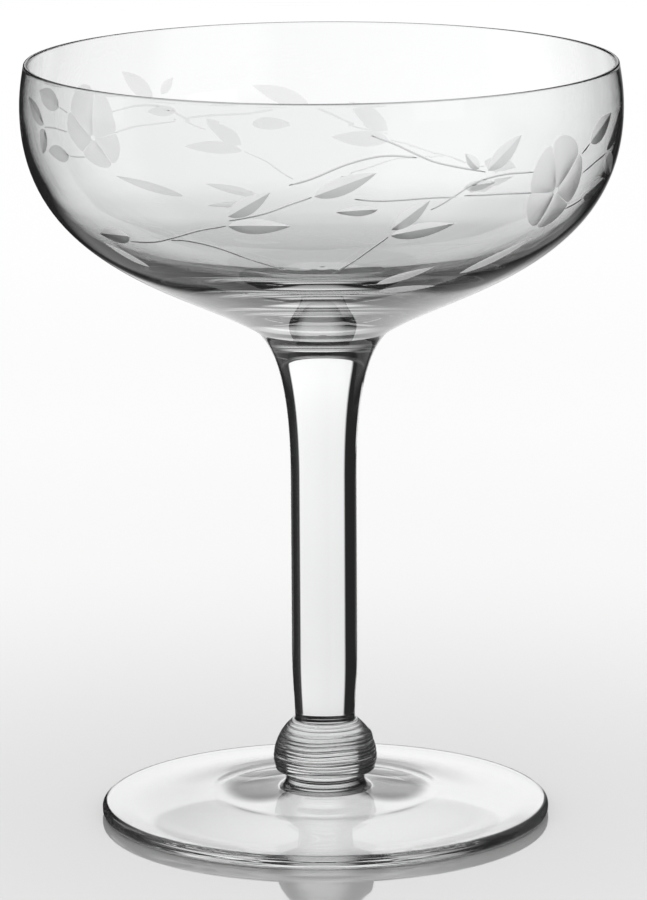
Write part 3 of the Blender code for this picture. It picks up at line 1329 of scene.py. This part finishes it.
    def light_sheet(self, graph: Graph) -> None:
        """Lights the sheet, and lets it fade to clear at its sides and for the table's gloss.

        Args:
            graph: The graph of the sheet's material.
        """
        x, _, z = graph.axes()
        path = graph.light_path()
        walls = graph.maths("GREATER_THAN", path["Transmission Depth"], BOTH_WALLS)
        mirror = graph.maths("LESS_THAN", path["Transmission Depth"], ANY_BOUNCE)
        through = graph.maths("LESS_THAN", path["Glossy Depth"], ANY_BOUNCE)
        blur = self.sheet_blur
        crisp, blurred, wide = (
            graph.window(x, self.sheet_left + inset, self.sheet_right - inset, soft)
            for inset, soft in ((0.0, self.sheet_soft), (blur, blur), (-blur, blur))
        )
        level = graph.mix(walls, graph.levels(z, self.sheet_levels), graph.levels(z, self.bowl_levels))
        foot = graph.times(graph.window(z, *self.foot_band, self.sheet_soft), graph.opposite(walls))
        dimmed = graph.mix(foot, self.sheet_reflected, self.foot_reflected)
        back = graph.times(blurred, graph.opposite(through), dimmed)
        level = graph.times(level, graph.levels(x, self.sheet_sides), graph.maths("ADD", through, back))
        near = graph.window(x, -self.mirror_reach, self.mirror_reach, self.sheet_soft)
        low = graph.fade(z, self.mirror_reach + self.sheet_soft, self.mirror_reach)
        white = graph.times(mirror, near, low)
        cover = graph.maths("MAXIMUM", graph.mix(graph.times(walls, through), crisp, wide), white)
        from_table = graph.times(mirror, graph.opposite(path["Is Singular Ray"]))
        graph.shade({"Alpha": graph.times(cover, graph.opposite(from_table))})
        graph.glow(graph.maths("MAXIMUM", level, white))

    def build(self) -> None:
        """Sets up the surroundings, the table, the sheet and how the picture is read out."""
        self.surroundings()
        self.table()
        self.glowing_table_under_foot()
        self.sheet()
        scene = bpy.context.scene
        scene.view_settings.view_transform = "Standard"
        scene.cycles.max_bounces = self.bounces
        scene.cycles.glossy_bounces = self.bounces
        scene.cycles.transmission_bounces = self.bounces
        scene.cycles.transparent_max_bounces = self.bounces


@dataclass(frozen=True)
class PhotoCamera:
    """The photograph's point of view, in metres and degrees."""

    distance: float = 0.9357
    height: float = 0.2553
    pitch: float = 11.752
    roll: float = -0.33
    lens: float = 234.83
    clip_end: float = 20.0

    def place(self) -> None:
        """Adds the camera and makes it the scene's own."""
        data = bpy.data.cameras.new("photo_camera")
        data.lens = self.lens
        data.clip_end = self.clip_end
        camera = bpy.data.objects.new("photo_camera", data)
        tilt = Euler((math.radians(90 - self.pitch), 0.0, 0.0)).to_matrix()
        turn = Matrix.Rotation(math.radians(self.roll), 3, "Z")
        camera.rotation_euler = (tilt @ turn).to_euler()
        camera.location = (0.0, -self.distance, self.height)
        bpy.context.scene.collection.objects.link(camera)
        bpy.context.scene.camera = camera


def main() -> None:
    """Builds the pieces from the table upwards, then the studio and the camera."""
    logging.basicConfig(level=logging.INFO, format="%(name)s: %(message)s")
    polished = ClearGlass("clear_glass").material()
    fused = FusedSeam("fused_seam").material()
    tooled = ClearGlass("tooled_glass", roughness=0.14, waves=(40.0, 40.0, 2400.0)).material()
    cuts = [
        # cut_glass is grey as painted shade: on the lower flats of the leaves and on the stalks.
        CutGlass("cut_glass").material(),
        CutGlass("pale_cut_glass", PALE_GREY, clearness=0.85).material(),
        CutGlass("frosted_cut_glass", PALE_GREY, clearness=0.3).material(),
        CutGlass("faint_cut_glass", PALE_GREY, clearness=0.9, roughness=(0.24, 0.36)).material(),
    ]
    bowl_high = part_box("bowl")[1]
    stem_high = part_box("stem")[1]
    collar_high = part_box("collar")[1]
    foot_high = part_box("foot")[1]
    bowl_seam_z = stem_high.z + HALF_SEAM
    foot_seam_z = foot_high.z + HALF_SEAM
    stem = Stem(stem_high.x, bowl_seam_z, foot_seam_z, collar_high.z)
    collar = Collar(foot_seam_z, collar_high.z, stem.neck_radius)
    foot = Foot(foot_high.x, foot_seam_z, collar.waist_radius, stem.neck_radius)
    bowl = Bowl(bowl_high.x, bowl_high.z, stem.seam_radius, bowl_seam_z)
    foot.dress("foot", [polished, fused])
    stem.dress("stem", [polished, fused])
    collar.dress("collar", [tooled, fused])
    bowl.dress("bowl", [polished, fused, *cuts])
    Studio().build()
    PhotoCamera().place()


if __name__ == "__main__":
    main()
